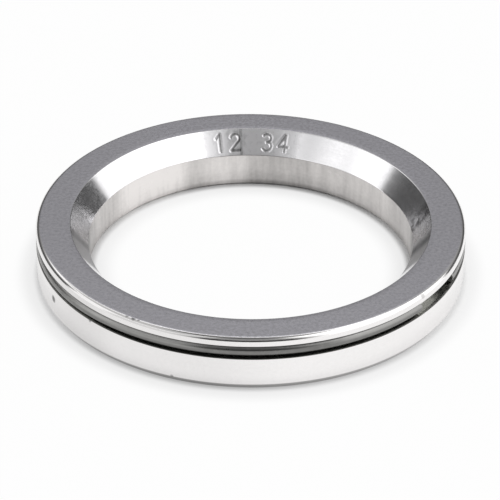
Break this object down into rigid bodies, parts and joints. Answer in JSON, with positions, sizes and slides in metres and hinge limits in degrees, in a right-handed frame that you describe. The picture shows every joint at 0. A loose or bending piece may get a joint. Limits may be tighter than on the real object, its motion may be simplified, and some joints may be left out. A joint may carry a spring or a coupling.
{
  "type": "hub centric ring",
  "caption": "Turned aluminium ring that centres a wheel on a smaller hub spigot, with a chamfered bore, a tapered lead-in and a spring wire in a groove under its collar.",
  "frame": {"origin": "centre of the bottom face, where the lead-in taper ends", "axes": "+Z along the bore, from the lead-in end to the chamfered face that lies against the hub"},
  "size_m": [0.0742, 0.0742, 0.01],
  "materials": {
    "turned_aluminium": "bare turned aluminium with fine satin lathe marks and a bright chamfer",
    "spring_steel": "dark drawn spring steel wire with a dull shine"
  },
  "bodies": {
    "root": {"ring": "turned_aluminium", "retaining_wire": "spring_steel"}
  },
  "joints": []
}
